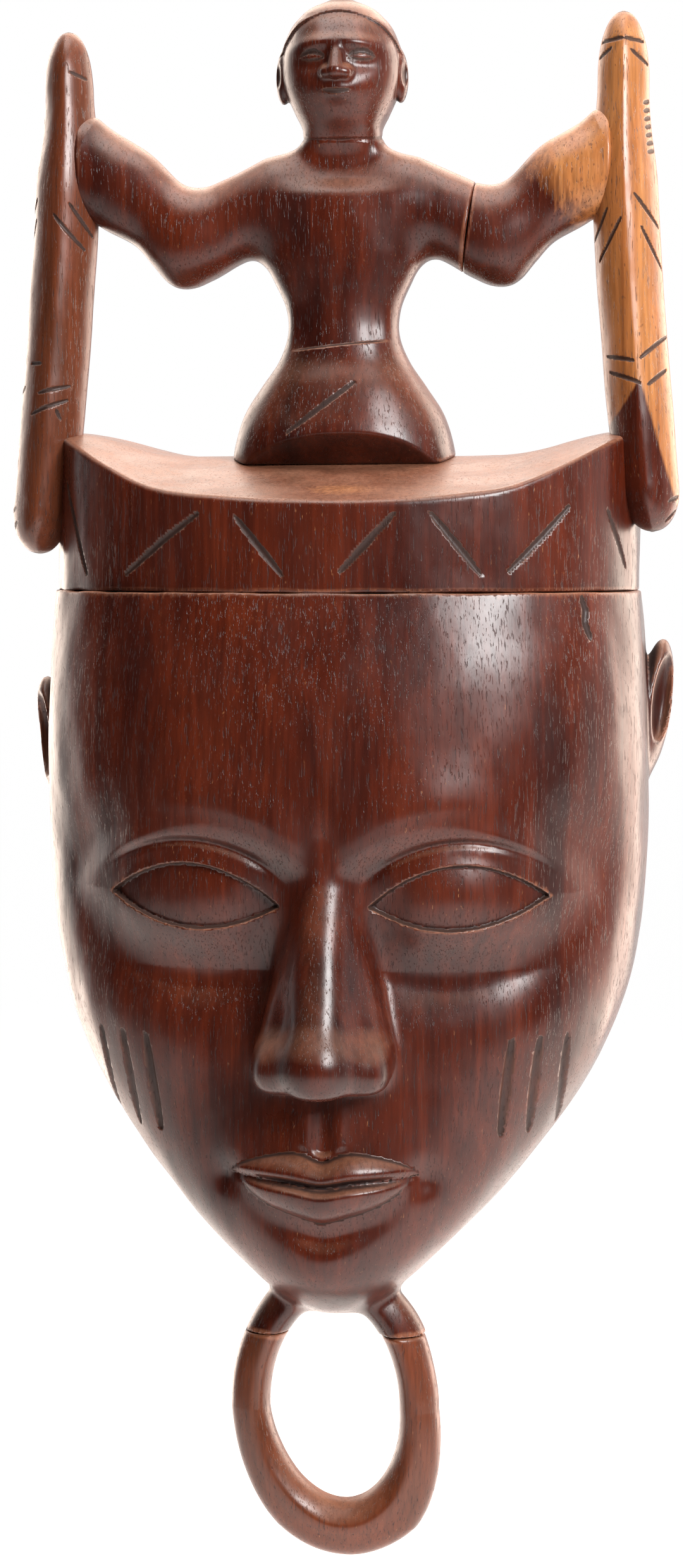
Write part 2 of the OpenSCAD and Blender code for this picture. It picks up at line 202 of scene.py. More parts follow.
def groove_depth(x, y, z, lines, reach):
    """How near each point is to any of a list of lines of points: 1 on one, 0 at the reach."""
    depth = np.zeros_like(x)
    for line in lines:
        points = np.array(line, float)
        lo, hi = points.min(0) - 2 * reach, points.max(0) + 2 * reach
        near = (x > lo[0]) & (x < hi[0]) & (y > lo[1]) & (y < hi[1]) & (z > lo[2]) & (z < hi[2])
        if not near.any():
            continue
        px, py, pz = x[near], y[near], z[near]
        best = np.full(px.shape, 1e9)
        for k in range(len(points) - 1):
            t, d = along_segment(px, py, pz, points[k], points[k + 1])
            # a cut is widest in its middle and runs out at both ends
            run = (k + t) / (len(points) - 1)
            best = np.minimum(best, d / (0.45 + 0.55 * np.sqrt(4 * run * (1 - run) + 0.02)))
        depth[near] = np.maximum(depth[near], np.clip(1.0 - best / reach, 0.0, 1.0))
    return depth


# ---- head -----------------------------------------------------------------------------------


def head_section(level):
    """Half width, depth and jaw slope of the head at a level."""
    u = (JOINT_Z - level) / FACE_H
    t = np.clip((u - 0.28) / 0.72, 0.0, 1.0)
    upper = HEAD_R - 2.5 * np.clip(1.0 - u / 0.28, 0.0, 1.0) ** 2
    half = np.where(u < 0.28, upper, HEAD_R * np.clip(1.0 - t**2.4, 0.0, 1.0) ** 0.6)
    depth = CROWN_D + (FOREHEAD_D - CROWN_D) * np.sin(np.pi * np.clip(u / 0.5, 0.0, 1.0))
    depth = depth - 26.0 * np.clip((u - 0.82) / 0.18, 0.0, 1.0) ** 2.5
    return np.maximum(half, 1.0), depth, 0.3 * smooth((u - 0.45) / 0.5)


def head_level(y, z):
    """The level whose sloping section passes through a point."""
    level = z
    for _ in range(3):
        _, depth, rise = head_section(level)
        level = z - rise * (y + depth)
    return level


def plan_field(x, y, half, depth, n):
    py = y - WIDEST_Y
    return super_oval(x, py, half, np.where(py < 0, depth + WIDEST_Y, BACK_REACH), n)


def eye_relief(ax, z):
    """Lids and eyeball, and the socket that they lie in."""
    ex = ax - EYE_X
    ez = z - EYE_Z - 0.05 * ex
    height = np.where(ez > 1, 23.0, 29.0)
    far = np.sqrt((ex / 36) ** 2 + ((ez - 1) / height) ** 2)
    socket = 7.5 * np.exp(-(far**3.2)) + 2.2 * bell(ax - 17, 8) * bell(ez, 12)
    w = np.clip(1.0 - (ex / 24.5) ** 2, 0.0, 1.0)
    slope = np.sqrt(1.0 + (0.9 * np.clip(ex / 24.5, -1, 1)) ** 2)
    inside = np.minimum(10.5 * w - ez, ez + 7.5 * w) - np.maximum(np.abs(ex) - 24.5, 0.0)
    inside = inside / slope
    ball = -join(-9.0 * (1.0 - (ex / 31) ** 2 - (ez / 20) ** 2), np.zeros_like(ex), 6.0)
    lid = ball + 1.3 * bell(np.minimum(inside, 0.0), 6.5)
    crease = 1.1 * bell(inside + 6.4, 1.3) * smooth((ez - 1) / 5) * smooth((29 - np.abs(ex)) / 12)
    return mix(lid - crease, ball - 0.8, smooth(inside / 1.0 + 0.5)) - socket


def brow_relief(ax, z):
    arc = BROW_Z + 6.5 - ((ax - EYE_X + 3) / 9.0) ** 2
    t = z - arc
    ridge = np.exp(-((t / np.where(t > 0, 11.0, 5.5)) ** 2))
    return 4.0 * ridge * smooth((ax + 4) / 14) * smooth((76 - ax) / 26)


def mouth_relief(x, z):
    """Closed lips on a gentle muzzle, the groove above them, and the chin."""
    ax = np.abs(x)
    w_up = np.clip(1.0 - (x / 27.0) ** 2, 0.0, 1.0)
    w_low = np.clip(1.0 - (x / 24.0) ** 2, 0.0, 1.0)
    line = MOUTH_Z + 1.4 * (x / 27.0) ** 2 - 1.2 * bell(x, 6)
    top = line + 9.0 * w_up**0.75 - 1.8 * bell(x, 4) + 0.01
    low = line - 10.5 * w_low**0.6 - 0.01
    up = np.clip((z - line) / np.maximum(top - line, 0.5), 0.0, 1.0)
    down = np.clip((line - z) / np.maximum(line - low, 0.5), 0.0, 1.0)
    upper = np.where(z >= line, 6.0 * w_up**0.9 * (1 - up**2.6) ** 0.8, 0.0)
    lower = np.where(z < line, 6.6 * w_low**0.9 * (1 - down**2.4) ** 0.7, 0.0)
    parting = 3.4 * bell(z - line, 1.5) * w_up**0.8
    muzzle = 4.5 * bell(x, 30) * bell(z - MOUTH_Z - 1, 24)
    corners = 1.8 * bell(ax - 28, 4) * bell(z - MOUTH_Z, 4.5)
    band = smooth((z - top - 0.5) / 2) * smooth((NOSE_Z + 4 - z) / 4)
    philtrum = band * (1.4 * bell(x, 2.8) - 0.6 * bell(ax - 4.8, 2.0))
    under = 2.2 * bell(x, 17) * bell(z - low + 4.5, 4.0) * (z < line)
    chin = 4.5 * bell(x, 18) * bell(z - CHIN_Z - 17, 13)
    return upper + lower - parting + muzzle - corners - philtrum - under + chin


def face_relief(x, z):
    ax = np.abs(x)
    cheek = 3.5 * bell(ax - 50, 20) * bell(z - NOSE_Z - 24, 26)
    temple = 2.0 * bell(ax - 72, 14) * bell(z - EYE_Z - 14, 20)
    return brow_relief(ax, z) + eye_relief(ax, z) + mouth_relief(x, z) + cheek - temple


def nose_field(x, y, z):
    ax = np.abs(x)
    tip = (0.0, -CROWN_D - 15.5, NOSE_Z + 10.5)
    ridge = capsule(ax, y, z, (0.0, -85.5, BROW_Z - 4), tip, 7.0, 9.0)
    side = capsule(ax, y, z, (2.0, -82.0, BROW_Z - 8), (8.0, -90.5, NOSE_Z + 14), 6.0, 10.5)
    wing = ellipsoid(ax, y, z, (11.0, -95.5, NOSE_Z + 8.8), (8.4, 10.0, 8.4))
    ball = ellipsoid(ax, y, z, tip, (9.6, 9.0, 9.0))
    nose = join(join(ridge, side, 7.0), join(ball, wing, 6.0), 5.0)
    nose = meet(nose, NOSE_Z + 2.2 - z + 0.12 * (y + 100), 3.0)
    return cut(nose, ellipsoid(ax, y, z, (6.4, -99.5, NOSE_Z + 1.2), (3.1, 5.0, 3.4)), 1.2)


def ear_field(x, y, z, side, middle):
    """A thin flap on one side, hollowed from the front."""
    sx = side * x
    lean = (z - middle) * 0.14
    flap = ellipsoid(sx - lean, y, z, (89.5, -18.0, middle), (5.2, 10.5, 20.5))
    bowl = ellipsoid(sx - lean, y, z, (92.4, -25.5, middle + 4), (3.4, 9.0, 13.0))
    return cut(flap, bowl, 1.2)


def cheek_lines():
    """Three cuts on each cheek."""
    lines = []
    for x in (52.0, 59.5, 67.0):
        for side in (-1, 1):
            run = np.linspace(0, 1, 5)
            pts = [face_point(side * (x - 3.5 * t), NOSE_Z + 15 - 27 * t) for t in run]
            lines.append(pts)
    return lines


def face_point(x, level):
    """A point on the carved front of the face."""
    half, depth, _ = head_section(np.array([level]))
    y = WIDEST_Y - (depth[0] + WIDEST_Y) * (1 - (abs(x) / half[0]) ** 2.2) ** (1 / 2.2)
    for _ in range(6):
        p = [np.array([float(v)]) for v in (x, y, level)]
        y -= 0.8 * -float(head_skin(*p)[0])
    return (x, y, level)


def forehead_crack():
    """A drying crack that runs down from the seam on the right of the forehead."""
    steps = ((70.0, 1.5), (71.2, 5.0), (71.0, 8.5), (72.6, 13.0))
    return [[face_point(x, JOINT_Z - down) for x, down in steps]]


def head_skin(x, y, z):
    """The outside of the head without ears, ring or hollow."""
    level = head_level(y, z)
    half, depth, _ = head_section(level)
    d = plan_field(x, y, half, depth, 2.2)
    front = smooth(-y / depth * 2.5 - 0.6)
    d = d - front * face_relief(x, z)
    d = meet(d, CHIN_Z + 1.5 - level, 7.0)
    return join(d, nose_field(x, y, z), 4.5)


def hollow_field(x, y, z):
    level = head_level(y, z)
    half, depth, _ = head_section(level)
    d = plan_field(x, y, np.maximum(half - RIM_WALL, 4.0), depth - FRONT_WALL, 2.2)
    d = meet(d, level - HOLLOW_TOP, 22.0)
    d = meet(d, HOLLOW_BOTTOM - level, 22.0)
    # shallow scoops left by the gouge
    scoops = np.abs(np.sin(z * 0.36 + 0.8 * np.sin(x * 0.11))) * np.abs(np.cos(x * 0.17 + z * 0.05))
    return d + 0.5 * scoops


def mask_shell_field(x, y, z):
    d = head_skin(x, y, z)
    d = join(d, ear_field(x, y, z, 1, JOINT_Z - 35), 2.5)
    d = join(d, ear_field(x, y, z, -1, JOINT_Z - 47), 2.5)
    stubs = meet(ring_field(x, y, z) - 0.5 * smooth(x / 4), RING_JOINT_Z + 0.06 - z, 0.4)
    d = join(d, stubs, 5.0)
    d = cut(d, hollow_field(x, y, z), 2.5)
    d = d + 2.1 * groove_depth(x, y, z, CHEEK_LINES, 1.9)
    d = d + 1.7 * groove_depth(x, y, z, FOREHEAD_CRACK, 1.4)
    return meet(meet(d, z - JOINT_Z + 0.06, 0.5), y, 2.0)


# ---- grip ring ------------------------------------------------------------------------------


def ring_field(x, y, z):
    dz = z - RING_MID_Z
    px = x - RING_LEAN * np.clip(-dz / RING_DOWN, 0.0, 1.0)
    reach = np.where(dz > 0, RING_UP, RING_DOWN)
    s = super_oval(px, dz, RING_R, reach, 2.0)
    low = np.clip(-dz / RING_DOWN, 0.0, 1.0)
    thick = mix(RING_SIDE_T, RING_BASE_T, low**1.5)
    # the bar has a soft ridge on its front, a little inside its middle
    py = y - RING_Y
    ridge = 1.3 * bell(s + 1.5, 3.0) * (py < 0)
    return super_oval(s, py, thick, 6.8, 2.1) - ridge + 0.6


def chin_ring_field(x, y, z):
    return meet(ring_field(x, y, z), z - RING_JOINT_Z + 0.06, mix(0.3, 1.0, smooth(x / 4)))


# ---- crown ----------------------------------------------------------------------------------


def crown_top(x, y):
    rise = SIDE_RISE * smooth((np.abs(x) - 44) / 38)
    ahead = SHELF_BREAK_Y - y
    # level at the back, easing into the slope towards the front
    return SHELF_Z + rise - SHELF_SLOPE * 0.5 * (ahead + np.sqrt(ahead * ahead + 60.0)) + 0.4


def band_line(s1, z1, s2, z2):
    """A straight cut on the band, between two places given by their angle round the plan."""
    points = []
    for t in np.linspace(0, 1, 5):
        a = math.radians(mix(s1, s2, t))
        x = CROWN_R * math.sin(a)
        y = WIDEST_Y - (CROWN_D + WIDEST_Y) * math.cos(a)
        points.append((x, y, JOINT_Z + mix(z1, z2, t)))
    return points


def crown_lines():
    """The zigzag: where each straight cut starts and ends, as angle and height over the seam."""
    cuts = [(-68, 31, -57, 5), (-43, 5, -25, 22), (-17, 21, -8, 5), (3, 6, 13, 22), (20, 22, 30, 5)]
    cuts += [(36, 6, 51, 24), (64, 23, 73, 7)]
    return [band_line(*c) for c in cuts]


def crown_field(x, y, z):
    d = plan_field(x, y, np.full_like(x, CROWN_R), np.full_like(x, CROWN_D), 2.0)
    d = meet(d, (z - crown_top(x, y)) / math.hypot(1, SHELF_SLOPE), 1.6)
    d = d + 1.3 * groove_depth(x, y, z, CROWN_LINES, 1.15)
    d = meet(d, JOINT_Z - z + 0.06, 0.7)
    d = cut(d, super_oval(x, z, np.full_like(x, 2.5), np.full_like(x, 2.5), 2.0) + 90.0 * (y < -18), 0.5)
    return meet(d, y, 1.5)


# ---- figure ---------------------------------------------------------------------------------

HEM_Z = 31.0
# height, half width, half depth and distance from the back plane
BODY = [
    (14, 31.0, 24.5, 37), (22, 32.5, 25, 37), (30, 31.2, 24.5, 37), (38, 28.2, 22.5, 37),
    (45, 23.6, 19.5, 38), (52, 18.8, 15.5, 39), (60, 16.0, 12.8, 40), (67, 16.6, 12.4, 40),
    (75, 20.0, 12.6, 40), (83, 23.6, 13.2, 40), (93, 25.0, 13.4, 40), (99, 24.2, 12.4, 40),
    (104, 21.5, 10.0, 39), (109, 16.5, 9.0, 39), (113, 12.4, 9.6, 40), (117, 11.4, 11.2, 41),
    (122, 13.6, 14.0, 41.5), (128, 16.2, 16.6, 42), (135, 16.9, 17.4, 42), (142, 15.4, 16.4, 42),
    (148, 12.0, 13.0, 42), (152, 7.0, 8.0, 42), (154, 2.0, 2.5, 42),
]  # fmt: skip


def body_point(x, z):
    """A point on the front of the body."""
    half, depth, back = [float(v[0]) for v in spline(np.array([float(z)]), BODY)]
    return (x, -back - depth * (1 - (abs(x) / half) ** 2.2) ** (1 / 2.2), z)


def figure_lines():
    slash = [body_point(x, 41.5 + 0.75 * x) for x in np.linspace(-14, 5, 5)]
    lids = []
    for side in (-1, 1):
        for bow in (1.6, -1.1):
            run = np.linspace(-1, 1, 6)
            lids.append([body_point(side * (7.4 + 4 * u), 136 + bow * (1 - u * u)) for u in run])
    mouth = [body_point(x, 126.3 + 0.004 * x * x) for x in np.linspace(-5, 5, 5)]
    return [slash, *lids, [(p[0], p[1] - 2.4, p[2]) for p in mouth]]


def little_head(x, y, z, d):
    """Cap, ears, brow, nose, eyes and lips of the figure's head."""
    ax = np.abs(x)
    face = smooth((-y - 44) / 6) * (z > 112)
    relief = 1.6 * bell(z - 140.5 + ax * 0.12, 2.2) * bell(ax - 6, 6)
    relief = relief - 2.0 * bell(ax - 7.5, 4.5) * bell(z - 136, 3.8)
    relief = relief + 1.5 * bell(ax - 7.4, 3.4) * bell(z - 136, 1.9)
    relief = relief + 2.6 * bell(x, 6) * bell(z - 126.3, 4.2)
    relief = relief + 1.0 * bell(x, 5) * bell(z - 119.5, 3)
    d = d - face * relief
    nose = capsule(ax, y, z, (0, -57.5, 140), (0, -61.3, 131.8), 1.7, 2.4)
    nose = join(nose, ellipsoid(ax, y, z, (2.5, -59.6, 131.4), (2.1, 2.6, 2.0)), 1.2)
    d = join(d, nose, 1.6)
    cap_edge = z - 136.0 + 0.98 * (y + 42.0) - 1.5 * bell(x, 7)
    d = d - 0.8 * smooth(cap_edge / 0.9 + 0.5) * smooth((z - 120) / 4)
    d = join(d, capsule(ax, y, z, (0, -44, 146), (0, -45, 152.2), 7.0, 1.6), 4.0)
    ear = ellipsoid(ax, y, z + 0.25 * ax, (16.6, -42.5, 136.4), (2.4, 4.0, 7.4))
    ear = cut(ear, ellipsoid(ax, y, z, (18.6, -46.0, 133.0), (1.2, 3.0, 4.0)), 0.6)
    return join(d, ear, 1.2)


def arm_field(x, y, z):
    """The right-hand arm, from the shoulder to the hand at the post."""
    upper = capsule(x, y, z, SHOULDER, ELBOW, 12.6, 11.6, 0.82)
    wrist = (HAND[0] - 10, HAND[1], HAND[2] - 5)
    fore = capsule(x, y, z, ELBOW, wrist, 11.4, 10.8, 0.82)
    point = capsule(x, y, z, ELBOW, (ELBOW[0] + 2.5, ELBOW[1], ELBOW[2] - 8.6), 9.5, 4.2, 0.82)
    grip = capsule(x, y, z, wrist, (HAND[0] + 2, HAND[1], HAND[2] + 0.6), 10.8, 14.6, 0.64)
    return join(join(join(upper, fore, 5.0), point, 4.0), grip, 6.0)


def past_break(x, z):
    """Distance beyond the crack in the right arm, along the arm."""
    return (x - BREAK_X) * math.cos(BREAK_TILT) - (z - ELBOW[2]) * math.sin(BREAK_TILT)


def body_field(x, y, z):
    half, depth, back = spline(np.clip(z, BODY[0][0], BODY[-1][0]), BODY)
    d = super_oval(x, y + back, half, depth, 2.2)
    d = meet(d, z - BODY[-1][0], 2.0)
    # the front of the seat is cut away under the hem, sloping back and down
    under = ((-61.6 - y) + 1.15 * (HEM_Z + 0.03 * x - z)) / math.hypot(1, 1.15)
    d = meet(d, under, 1.0)
    # the skirt's upper edge stands out a little over the belly
    belly = smooth((z - 55.5 - 0.1 * x) / 0.9) * smooth((84 - z) / 24)
    d = d + 1.3 * belly * smooth((-y - 42) / 5) * smooth((15 - np.abs(x)) / 6)
    # a soft hollow down the back and a flat chest
    d = d + 1.6 * bell(x, 4.5) * smooth((y + 36) / 6) * smooth((z - 56) / 10) * smooth((106 - z) / 10)
    return d


def figure_field(x, y, z):
    d = little_head(x, y, z, body_field(x, y, z))
    arm_l = arm_field(-x, y, z)
    arm_r = meet(arm_field(x, y, z), past_break(x, z) + 0.05, 0.5)
    d = join(join(d, arm_l, 6.0), arm_r, 6.0)
    d = d + 1.1 * groove_depth(x, y, z, FIGURE_LINES, 0.9)
    neck = np.abs(z - 115.5 - 0.15 * (y + 40))
    d = d + 0.35 * np.clip(1 - neck / 0.8, 0, 1) * (np.abs(x) < 15)
    d = meet(d, -HAND[0] - x - 1.2, 1.2)
    return meet(d, crown_top(x, y) - z - 0.2, 1.2)


def forearm_field(x, y, z):
    d = meet(arm_field(x, y, z), -past_break(x, z) + 0.05, 0.5)
    return meet(d, x - HAND[0] - 1.2, 1.2)


# ---- posts ----------------------------------------------------------------------------------


def post_axis(z):
    return 80.0 + 9.5 * np.clip((120.0 - z) / 120.0, 0.0, 1.0) ** 1.5


def post_half(z, low, high):
    def round_end(gap, length):
        return np.sqrt(1.0 - np.clip(1.0 - gap / length, 0.0, 0.995) ** 2)

    w = mix(9.5, 7.2, smooth((z - 100) / 30)) * mix(0.94, 1.0, smooth((z - 5) / 40))
    return w * round_end(high - z, 18.0) * round_end(z - low, 14.0)


def post_line(low, high, cuts):
    """Cuts on a post's front, each given by where it starts and ends across and up the post."""
    lines = []
    for u1, z1, u2, z2 in cuts:
        pts = []
        for t in np.linspace(0, 1, 5):
            u, z = mix(u1, u2, t), mix(z1, z2, t)
            w = float(post_half(np.array([z]), low, high)[0])
            y = FIGURE_Y - w * 1.15 * (1 - min(abs(u), 0.99) ** 1.5) ** (1 / 1.5)
            pts.append((float(post_axis(np.array([z]))[0]) + u * w, y, z))
        lines.append(pts)
    return lines


def post_field(x, y, z, low, high, lines):
    w = np.maximum(post_half(z, low, high), 0.6)
    d = super_oval(x - post_axis(z), y - FIGURE_Y, w, w * 1.15, 1.5)
    d = d + 0.8 * groove_depth(x, y, z, lines, 0.75)
    return meet(meet(d, z - high, 1.0), low - z, 1.0)


# where each cut starts and ends: across the post from -1 to 1, outwards, and its height
RIGHT_CUTS = [
    (-0.95, 141, 0, 141.6), (0.1, 141.6, 0.9, 141), (-0.5, 139, -0.95, 136.7), (0.35, 138.3, 0.95, 134.7),
    (-0.6, 100, -1, 94), (-0.54, 94, -0.98, 85.4), (-0.15, 91, -0.85, 79.5), (0.3, 98, 0.95, 89),
    (0.45, 88.7, 1, 77), (-0.85, 52.7, -0.05, 51.2), (0.17, 52, 1, 58.5), (-0.8, 48.2, 0.1, 44.9),
    (0.33, 44.5, 0.9, 48.9), (0.7, 11.6, 1, 13), (0.75, 6, 1, 9),
]  # fmt: skip
RIGHT_CUTS += [(0.8, 110 + 2.3 * k, 1.0, 110.8 + 2.3 * k) for k in range(7)]
LEFT_CUTS = [
    (-0.27, 134.7, -0.84, 133), (0.85, 99, 1, 94.5), (0.85, 93, 1, 87), (0.2, 94, -0.73, 84),
    (-0.28, 97, -0.9, 88), (0.65, 51.6, 0.3, 51.6), (0.3, 43, -0.6, 45), (0.5, 37, -0.58, 41),
    (-0.3, 38, -0.44, 35.5), (0.85, 45, 1, 43.5), (0.85, 10, 1, 9), (0.8, 6, 1, 4),
]  # fmt: skip


# ---- meshing --------------------------------------------------------------------------------

BLOCK = 8
MOST_TRIANGLES = 190000
EDGES = [(0, 1), (2, 3), (4, 5), (6, 7), (0, 2), (1, 3), (4, 6), (5, 7), (0, 4), (1, 5), (2, 6), (3, 7)]
CORNERS = np.array([(a, b, c) for a in (0, 1) for b in (0, 1) for c in (0, 1)])


def sample_field(field, lo, counts, step):
    """Values on a grid: worked out near the surface, and a plain sign elsewhere."""
    blocks = counts // BLOCK
    centres = [lo[a] + (np.arange(blocks[a]) + 0.5) * BLOCK * step for a in range(3)]
    grid = np.meshgrid(*centres, indexing="ij")
    coarse = field(*[g.ravel() for g in grid]).reshape(blocks)
    values = np.repeat(np.repeat(np.repeat(np.sign(coarse), BLOCK, 0), BLOCK, 1), BLOCK, 2) * 99.0
    values = np.ascontiguousarray(values, dtype=np.float32)
    view = values.reshape(blocks[0], BLOCK, blocks[1], BLOCK, blocks[2], BLOCK)
    near = np.argwhere(np.abs(coarse) < 1.7 * BLOCK * step)
    inner = np.arange(BLOCK)
    for start in range(0, len(near), 1500):
        part = near[start : start + 1500]
        axes = [lo[a] + (part[:, a, None] * BLOCK + inner) * step for a in range(3)]
        shape = (len(part), BLOCK, BLOCK, BLOCK)
        px = np.broadcast_to(axes[0][:, :, None, None], shape).ravel()
        py = np.broadcast_to(axes[1][:, None, :, None], shape).ravel()
        pz = np.broadcast_to(axes[2][:, None, None, :], shape).ravel()
        view[part[:, 0], :, part[:, 1], :, part[:, 2], :] = field(px, py, pz).reshape(shape)
    return values


def net(values, lo, step):
    """Surface net: one point in each cell that the surface passes, four-sided faces between."""
    inside = values < 0
    n = np.array(inside.shape) - 1
    count = np.zeros(n, np.uint8)
    for c in CORNERS:
        count += inside[c[0] : c[0] + n[0], c[1] : c[1] + n[1], c[2] : c[2] + n[2]]
    cells = np.argwhere((count > 0) & (count < 8))
    number = np.full(n, -1, np.int32)
    number[tuple(cells.T)] = np.arange(len(cells))
    corner = np.stack([values[tuple((cells + c).T)] for c in CORNERS], 1).astype(float)
    total = np.zeros((len(cells), 3))
    hits = np.zeros(len(cells))
    for a, b in EDGES:
        crossed = (corner[:, a] < 0) != (corner[:, b] < 0)
        gap = np.where(crossed, corner[:, a] - corner[:, b], 1.0)
        t = np.clip(corner[:, a] / gap, 0.0, 1.0)[:, None]
        total += np.where(crossed[:, None], mix(CORNERS[a], CORNERS[b], t), 0.0)
        hits += crossed
    points = lo + (cells + total / hits[:, None]) * step
    faces = []
    for axis in range(3):
        u, v = (axis + 1) % 3, (axis + 2) % 3
        first = [slice(None)] * 3
        second = [slice(None)] * 3
        first[axis], second[axis] = slice(0, -1), slice(1, None)
        lower, upper = inside[tuple(first)], inside[tuple(second)]
        at = np.argwhere(lower != upper)
        at = at[(at[:, u] > 0) & (at[:, v] > 0) & (at[:, u] < n[u]) & (at[:, v] < n[v])]
        ring = []
        for du, dv in ((1, 1), (0, 1), (0, 0), (1, 0)):
            cell = at.copy()
            cell[:, u] -= du
            cell[:, v] -= dv
            ring.append(number[tuple(cell.T)])
        quad = np.stack(ring, 1)
        outward = lower[tuple(at.T)]
        quad[~outward] = quad[~outward][:, ::-1]
        faces.append(quad[(quad >= 0).all(1)])
    return points, np.concatenate(faces)


def slope_of(field, p, reach):
    """The field and its gradient at points."""
    here = field(*p.T)
    grad = np.empty_like(p)
    for a in range(3):
        q = p.copy()
        q[:, a] += reach
        grad[:, a] = (field(*q.T) - here) / reach
    return here, grad


def settle(field, points, step, rounds=2):
    """Moves points onto the surface itself."""
    for _ in range(rounds):
        here, grad = slope_of(field, points, 0.05)
        move = here[:, None] * grad / np.maximum((grad * grad).sum(1), 0.2)[:, None]
        points = points - np.clip(move, -0.5 * step, 0.5 * step)
    return points


def crossing_waves(x, y, z, size, seed):
    """Gentle uneven waves, about -1 to 1, from a few crossing sines."""
    total = np.zeros_like(x)
    turn = np.random.default_rng(seed)
    for _ in range(7):
        way = turn.normal(size=3)
        way *= turn.uniform(0.7, 1.6) * 2 * np.pi / (size * np.linalg.norm(way))
        total += np.sin(x * way[0] + y * way[1] + z * way[2] + turn.uniform(0, 2 * np.pi))
    return total / 3.0


def hand_worked(field):
    """The field with the slight unevenness that a knife leaves, except on the flat back."""

    def worked(x, y, z):
        uneven = 0.15 * crossing_waves(x, y, z, 19, 3) + 0.02 * crossing_waves(x, y, z, 7, 5)
        return field(x, y, z) - uneven * smooth((-y - 1.0) / 3)

    return worked


def new_mesh(name, points, faces):
    mesh = bpy.data.meshes.new(name)
    mesh.vertices.add(len(points))
    mesh.vertices.foreach_set("co", (points * MM).astype(np.float32).ravel())
    mesh.loops.add(len(faces) * 4)
    mesh.loops.foreach_set("vertex_index", faces.astype(np.int32).ravel())
    mesh.polygons.add(len(faces))
    mesh.polygons.foreach_set("loop_start", np.arange(0, len(faces) * 4, 4, dtype=np.int32))
    mesh.polygons.foreach_set("use_smooth", np.ones(len(faces), dtype=bool))
    mesh.update(calc_edges=True)
    return mesh


def thin_out(piece, triangles):
    """Merges the smallest faces of a piece until it has about so many triangles."""
    now = sum(len(p.vertices) - 2 for p in piece.data.polygons)
    if now <= triangles:
        return
    merge = piece.modifiers.new("thin_out", "DECIMATE")
    merge.ratio = triangles / now
    seen = piece.evaluated_get(bpy.context.evaluated_depsgraph_get())
    piece.data = bpy.data.meshes.new_from_object(seen)
    piece.modifiers.clear()


def carve(name, node, field, step, sap=0.0, material=None):
    """Meshes a field as a piece that stands for a CAD node. sap is the share of sapwood, as a
    number or as a function of the place."""
    worked = hand_worked(field)
    low, high = cad_box(node)
    lo = low - 2.0 - 2 * step
    counts = (np.ceil((high + 2.0 + 2 * step - lo) / step / BLOCK) * BLOCK).astype(int)
    points, faces = net(sample_field(field, lo, counts, step), lo, step)
    piece = bpy.data.objects.new(name, new_mesh(name, settle(worked, points, step), faces))
    bpy.context.scene.collection.objects.link(piece)
    thin_out(piece, MOST_TRIANGLES)

    mesh = piece.data
    points = np.empty(len(mesh.vertices) * 3, np.float32)
    mesh.vertices.foreach_get("co", points)
    points = settle(worked, points.reshape(-1, 3).astype(float) / MM, step, 1)
    mesh.vertices.foreach_set("co", (points * MM).astype(np.float32).ravel())
    _, grad = slope_of(worked, points, 0.15)
    size = np.linalg.norm(grad, axis=1) + 1e-9
    normals = grad / size[:, None]
    mesh.normals_split_custom_set_from_vertices(normals.tolist())
    write_marks(mesh, points, normals, size, worked, sap)
    mesh.materials.append(material or wood)
    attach(piece, "root")
    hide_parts(node)
    return piece


def write_marks(mesh, points, normals, size, field, sap):
    """Stores how hollow, how sharp and how much sapwood the surface is at each point."""
    marks = np.zeros((len(points), 4), np.float32)
    near = field(*(points + 1.8 * normals).T) / size
    inner = field(*(points - 1.5 * normals).T) / size
    far = field(*(points + 7.0 * normals).T) / size
    # channels 0 and 3, how shut in each point is close by and farther out, are what the wood uses to
    # paint shade into hollows; channel 1, how sharp the edge is, is what it uses for lighter edges,
    # partly wear and partly a painted highlight
    marks[:, 0] = np.clip(1 - near / 1.8, 0, 1)
    marks[:, 1] = np.clip(1 + inner / 1.5, 0, 1)
    marks[:, 2] = sap(*points.T) if callable(sap) else sap
    marks[:, 3] = np.clip(1 - far / 7.0, 0, 1)
    mesh.color_attributes.new("marks", "FLOAT_COLOR", "POINT").data.foreach_set("color", marks.ravel())


# ---- wood -----------------------------------------------------------------------------------


